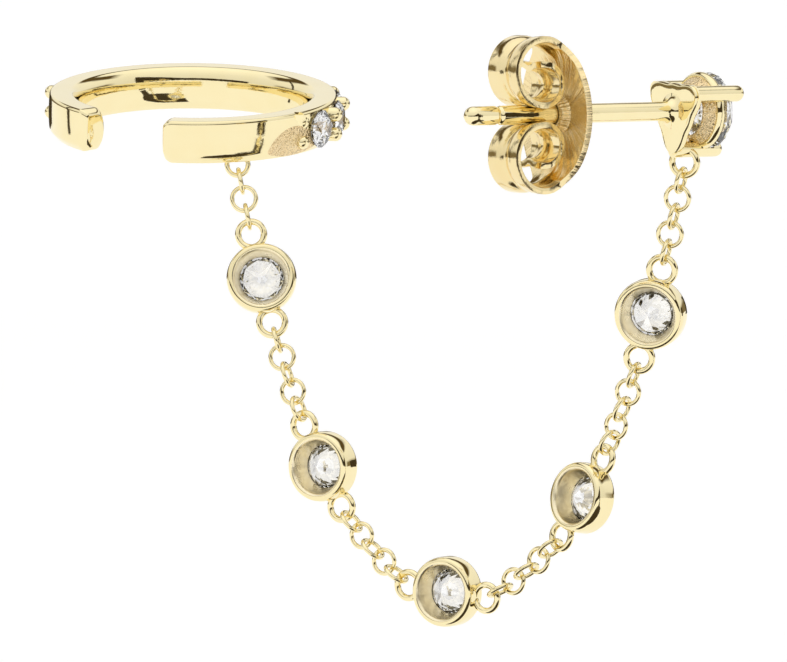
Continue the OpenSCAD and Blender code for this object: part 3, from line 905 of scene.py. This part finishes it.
claws = new_piece("stud_prongs", together(*[stud_prong(d) for d in PRONG_ANGLES]), polished)
gallery_cone = new_piece("stud_gallery_cone", gallery_shape(GALLERY_CONE), raw_cut)
gallery_rim = new_piece("stud_gallery_rim", gallery_shape(GALLERY_RIM), polished)
for piece in (claws, gallery_cone, gallery_rim):
    cut_with(piece, stone_seat(), raw_cut)
plate = new_piece("stud_plate", plate_shape(), polished)
post = new_piece("stud_post", post_shape(), polished)
from_stud = Vector(ring_places[0][0]) - STUD_LOOP
stud_loop = new_piece("stud_loop", hung_loop(loop_shape(), STUD_LOOP, from_stud, STUD_LOOP_ROLL), polished)
for piece in (claws, gallery_cone, gallery_rim, plate, post, stud_loop):
    hand_in(piece, "earring", "gold", "stud_setting")

# %% [markdown]
# ## The friction back
# The back is stamped from one strip of thin metal that is wide in the middle. Its ends are pressed into a
# groove for the post, then rolled into two scrolls which grip the post between them. So it is modelled as
# one sheet: a line bent like the real strip, with a width that changes along it, and then a thickness.

# %% Friction back: the strip's line
LOBE_SPACE = 5.2
DISH_R = 8.0
SHEET_T = 0.24
SCROLL_D = 2.84
CURL_D = 1.85
CURL_TURN = math.radians(190)
BORE_R = POST_R + 0.05
GROOVE_DEPTH = 0.17
THREE_QUARTERS = 1.5 * math.pi


def strip_line():
    """One half of the strip's middle line as (y, z) points, from the hole over the dish, up and in."""
    big, small = (SCROLL_D - SHEET_T) / 2, (CURL_D - SHEET_T) / 2
    near_post = BORE_R - GROOVE_DEPTH + SHEET_T / 2
    front = -LOBE_SPACE - SHEET_T / 2
    centre_z = near_post + big
    start = 0.0
    for _ in range(20):
        start = math.atan((centre_z + big * math.sin(start)) / DISH_R)
    leave_z = centre_z + big * math.sin(start)
    centre_y = front - leave_z ** 2 / (2 * DISH_R) - big * math.cos(start)
    line = [(front - z * z / (2 * DISH_R), z) for z in np.linspace(0, leave_z, 20)]
    line += [(centre_y + big * math.cos(t), centre_z + big * math.sin(t))
             for t in np.linspace(start, THREE_QUARTERS, 73)[1:]]
    line += [(centre_y + small * math.cos(t), near_post + small + small * math.sin(t))
             for t in np.linspace(THREE_QUARTERS, THREE_QUARTERS + CURL_TURN, 37)[1:]]
    return np.array(line)


# %% Friction back: the sheet
PLATE_HALF_W = 2.25
PLATE_HALF_H = 2.9
PLATE_END = 3.4
STRIP_HALF_W = 0.95
ROUND_END = 0.5
GROOVE_START = 1.9
GROOVE_W = 0.30


def friction_back_sheet():
    """The strip's line given its width: an oval plate that runs into two grooved tongues. Lengths along
    the strip are counted from the hole."""
    half = strip_line()
    length = np.concatenate([[0], np.cumsum(np.linalg.norm(np.diff(half, axis=0), axis=1))])
    ahead = np.gradient(half, axis=0)
    ahead /= np.linalg.norm(ahead, axis=1)[:, None]
    outward = np.stack([ahead[:, 1], -ahead[:, 0]], 1)
    rows = []
    for (y, z), s, (oy, oz) in zip(half, length, outward):
        oval = PLATE_HALF_W * math.sqrt(max(0.0, 1 - (z / PLATE_HALF_H) ** 2)) if s < PLATE_END else 0.0
        half_w = (oval ** 8 + STRIP_HALF_W ** 8) ** (1 / 8)
        left = length[-1] - s
        if left < ROUND_END:
            half_w *= 0.55 + 0.45 * math.sqrt(max(0.0, 1 - (1 - left / ROUND_END) ** 2))
        press = min(1.0, max(0.0, s - GROOVE_START))
        press = press * press * (3 - 2 * press)
        row = []
        for x in half_w * np.linspace(-1, 1, 41):
            groove = -GROOVE_DEPTH * press * math.exp(-(x / GROOVE_W) ** 2)
            dish = -x * x / (2 * DISH_R) * min(1.0, max(0.0, PLATE_END - s))
            row.append((x, y + oy * (groove + dish), z + oz * (groove + dish)))
        rows.append(row)
    rows = np.array(rows)
    mirrored = rows[::-1].copy()
    mirrored[:, :, 2] *= -1
    grid = np.concatenate([mirrored[:-1], rows])
    return grid.reshape(-1, 3), grid_faces(*grid.shape[:2], close_columns=False)


# %% Friction back: thickness, hole and collar
FACE_BACK = turn("X", 90)
SHEET_SHARP = 50
# Out from the bore, back from the plate's front, rounding
COLLAR = [(0.0, 0.05, 0.03), (0.5, 0.16, 0.05), (0.26, 0.34, 0.1), (0.2, 0.62, 0.1), (0.0, 0.62, 0.05)]
back = new_piece("friction_back_strip", friction_back_sheet(), pressed)
thick = back.modifiers.new("thickness", "SOLIDIFY")
thick.thickness = SHEET_T * MM
thick.offset = 0
edges = back.modifiers.new("soft edges", "BEVEL")
edges.width = 0.07 * MM
edges.segments = 3
edges.limit_method = "ANGLE"
edges.angle_limit = math.radians(SHEET_SHARP)
plain_mesh(back, SHEET_SHARP)
bore = turned([(r, LOBE_SPACE + h) for r, h in ((0.0, -1), (BORE_R, -1), (BORE_R, 7), (0.0, 7))], 48)
cut_with(back, placed(bore, FACE_BACK), pressed, SHEET_SHARP)
collar_profile = softened([(BORE_R + out, LOBE_SPACE + h, soft) for out, h, soft in COLLAR], 4)
collar = new_piece("friction_back_collar", placed(turned(collar_profile, 64), FACE_BACK), pressed)
for piece in (back, collar):
    hand_in(piece, "friction_back", "gold", "friction_back")

# %% [markdown]
# ## Finishes on the solids that stay
# The stones of the solid model already have their facets, so they stay and only get the clear finish.

# %% Stones
for node, solid in frame["nodes"].items():
    if "stone" in node:
        solid.data.materials.clear()
        solid.data.materials.append(stone)
        print(node, "is finished with", stone.name)

# %% [markdown]
# ## The light table
# The earring hangs above a white table that glows a little, so the picture's ground is pure white.

# %% Floor
FLOOR_Z = -30 * MM
REACH = 6.0
TABLE_GLOW = 0.23


def plain_material(name, dark, light, noise_scale):
    """A rough painted surface whose colour clouds between two colours."""
    material, tree = new_material(name)
    where = add_node(tree, "ShaderNodeTexCoord").outputs["Object"]
    cloud = add_node(tree, "ShaderNodeTexNoise", [("Vector", where)], Scale=noise_scale, Detail=2.0)
    shade = add_node(tree, "ShaderNodeValToRGB", [("Fac", cloud.outputs["Fac"])])
    shade.color_ramp.elements[0].color = (*dark, 1)
    shade.color_ramp.elements[1].color = (*light, 1)
    return material, add_shader(tree, [("Base Color", shade.outputs["Color"])], Roughness=0.9)


def stage_piece(name, corners, faces, material):
    """A piece of the studio, which isn't part of the earring."""
    mesh = bpy.data.meshes.new(name)
    mesh.from_pydata([tuple(c) for c in corners], [], faces)
    mesh.materials.append(material)
    piece = bpy.data.objects.new(name, mesh)
    scene.collection.objects.link(piece)
    return piece


white_table, table_shader = plain_material("light_table", (0.89, 0.89, 0.89), (0.92, 0.92, 0.92), 6.0)
table_shader.inputs["Emission Color"].default_value = (1, 1, 1, 1)
table_shader.inputs["Emission Strength"].default_value = TABLE_GLOW
floor_corners = [(x * REACH, y * REACH, FLOOR_Z) for x, y in ((-1, -1), (1, -1), (1, 1), (-1, 1))]
stage_piece("floor", floor_corners, [(0, 1, 2, 3)], white_table)

# %% [markdown]
# ## Dark cards
# Polished metal only looks like metal when it also mirrors something dark. So brown cards stand around the
# earring, and one lies on the table, each where the gold should mirror it towards the camera. The camera
# doesn't see the cards, and they throw no shadow.

# %% Cards
brown_card, _ = plain_material("brown_card", (0.03, 0.018, 0.003), (0.05, 0.032, 0.008), 20.0)
towards = Vector((-look[0], -look[1], 0)).normalized()
cards_middle = Vector((-12, -4, 0)) * MM
CARD_LIFT = 0.5 * MM


def hide_card(card):
    """Leaves a card to the mirrors: it isn't seen directly or through a stone, and dims nothing."""
    for ray in ("camera", "diffuse", "shadow", "transmission"):
        setattr(card, "visible_" + ray, False)
    print("card:", card.name)


def upright_card(name, distance, first_turn, last_turn, bottom, first_top, last_top):
    """A curved card about an upright axis, in millimetres and degrees. Turns are counted from the camera
    towards the picture's right, and the top may slope."""
    corners = []
    for degrees, top in zip(np.linspace(first_turn, last_turn, 25), np.linspace(first_top, last_top, 25)):
        way = math.cos(math.radians(degrees)) * towards + math.sin(math.radians(degrees)) * right
        foot = cards_middle + way * distance * MM
        corners += [foot + Vector((0, 0, height * MM)) for height in (bottom, top)]
    faces = [(2 * i, 2 * i + 2, 2 * i + 3, 2 * i + 1) for i in range(24)]
    hide_card(stage_piece(name, corners, faces, brown_card))


def lying_card(name, points):
    """A card on the table, from (to the right, towards the camera) points in millimetres."""
    ground = cards_middle + Vector((0, 0, FLOOR_Z + CARD_LIFT))
    corners = [ground + (right * x + towards * y) * MM for x, y in points]
    hide_card(stage_piece(name, corners, [tuple(range(len(points)))], brown_card))


# Name, distance, first turn, last turn, bottom, first top, last top
for card in (("front_card", 180, -60, 12, -12, 14, 22),
             ("front_right_card", 180, 12, 62, -12, 22, 95),
             ("right_card", 95, 54, 62, -29, 45, 45),
             ("left_card", 180, -119.5, -116, -29, 120, 120),
             ("back_right_card", 450, 148, 174, -29, 90, 90),
             ("back_left_card", 450, -174, -153, -29, 90, 90),
             ("side_card", 300, 110, 128, -29, 35, 35)):
    upright_card(*card)
lying_card("front_corner_card", [(-3, 24), (3, 29), (14, 35), (25, 34), (34, 31), (38, 29), (68, 50),
                                 (75, 40), (42, 22), (32, 13), (4, 0), (-7, 5)])

# %% [markdown]
# ## The sky
# All light comes from the sky and the glowing table. The half of the sky on the camera's side is plain, and
# the half behind the earring has a brown ring near the horizon and another one higher up, for the metal to
# mirror. Rays that have passed through a stone meet a paler sky, which keeps the stones clear.

# %% Light
SKY_TOP = 1.2
STONE_SKY_SHARE = 0.4
HALVES_BLEND = 0.1


def grey(value):
    return (value,) * 3


LOW_RING = (0.2, 0.16, 0.09)
HIGH_RING = (0.10, 0.07, 0.03)
# Degrees above the horizon, with the sky's colour there
BACK_STOPS = [(-5, LOW_RING), (8, LOW_RING), (13, grey(0.88)), (31, grey(0.96)), (35, HIGH_RING),
              (45, HIGH_RING), (49, grey(1.0)), (90, grey(SKY_TOP))]
FRONT_STOPS = [(-5, grey(0.8)), (30, grey(0.9)), (55, grey(1.05)), (90, grey(SKY_TOP))]


def height_ramp(tree, height, stops):
    """A ramp over the height above the horizon, with (degrees, colour) stops."""
    ramp = add_node(tree, "ShaderNodeValToRGB", [("Fac", height)])
    elements = ramp.color_ramp.elements
    while len(elements) < len(stops):
        elements.new(0.5)
    for element, (degrees, colour) in zip(elements, stops):
        element.position = (degrees + 90) / 180
        element.color = (*colour, 1)
    return ramp.outputs["Color"]


def studio_world():
    world = bpy.data.worlds.new("studio")
    scene.world = world
    world.use_nodes = True
    tree = world.node_tree
    tree.nodes.clear()
    way = add_node(tree, "ShaderNodeTexCoord").outputs["Generated"]
    parts = add_node(tree, "ShaderNodeSeparateXYZ", [("Vector", way)])
    climb = add_node(tree, "ShaderNodeMath", [(0, parts.outputs["Z"])], operation="ARCSINE")
    height = add_node(tree, "ShaderNodeMapRange", [("Value", climb.outputs["Value"])],
                      From_Min=-math.pi / 2, From_Max=math.pi / 2).outputs["Result"]
    front = add_node(tree, "ShaderNodeVectorMath", [(0, way), (1, (-look[0], -look[1], 0))],
                     operation="DOT_PRODUCT")
    share = add_node(tree, "ShaderNodeMapRange", [("Value", front.outputs["Value"])],
                     From_Min=-HALVES_BLEND, From_Max=HALVES_BLEND)
    sky = mixed_colour(tree, share.outputs["Result"], height_ramp(tree, height, BACK_STOPS),
                       height_ramp(tree, height, FRONT_STOPS))
    through = add_node(tree, "ShaderNodeLightPath").outputs["Is Transmission Ray"]
    paler = add_node(tree, "ShaderNodeMath", [(0, through), (1, STONE_SKY_SHARE)], operation="MULTIPLY")
    seen = mixed_colour(tree, paler.outputs["Value"], sky, grey(SKY_TOP))
    background = add_node(tree, "ShaderNodeBackground", [("Color", seen)], Strength=1.0)
    output = add_node(tree, "ShaderNodeOutputWorld")
    tree.links.new(background.outputs["Background"], output.inputs["Surface"])
    print("sky:", world.name)


studio_world()
scene.view_settings.view_transform = "Standard"
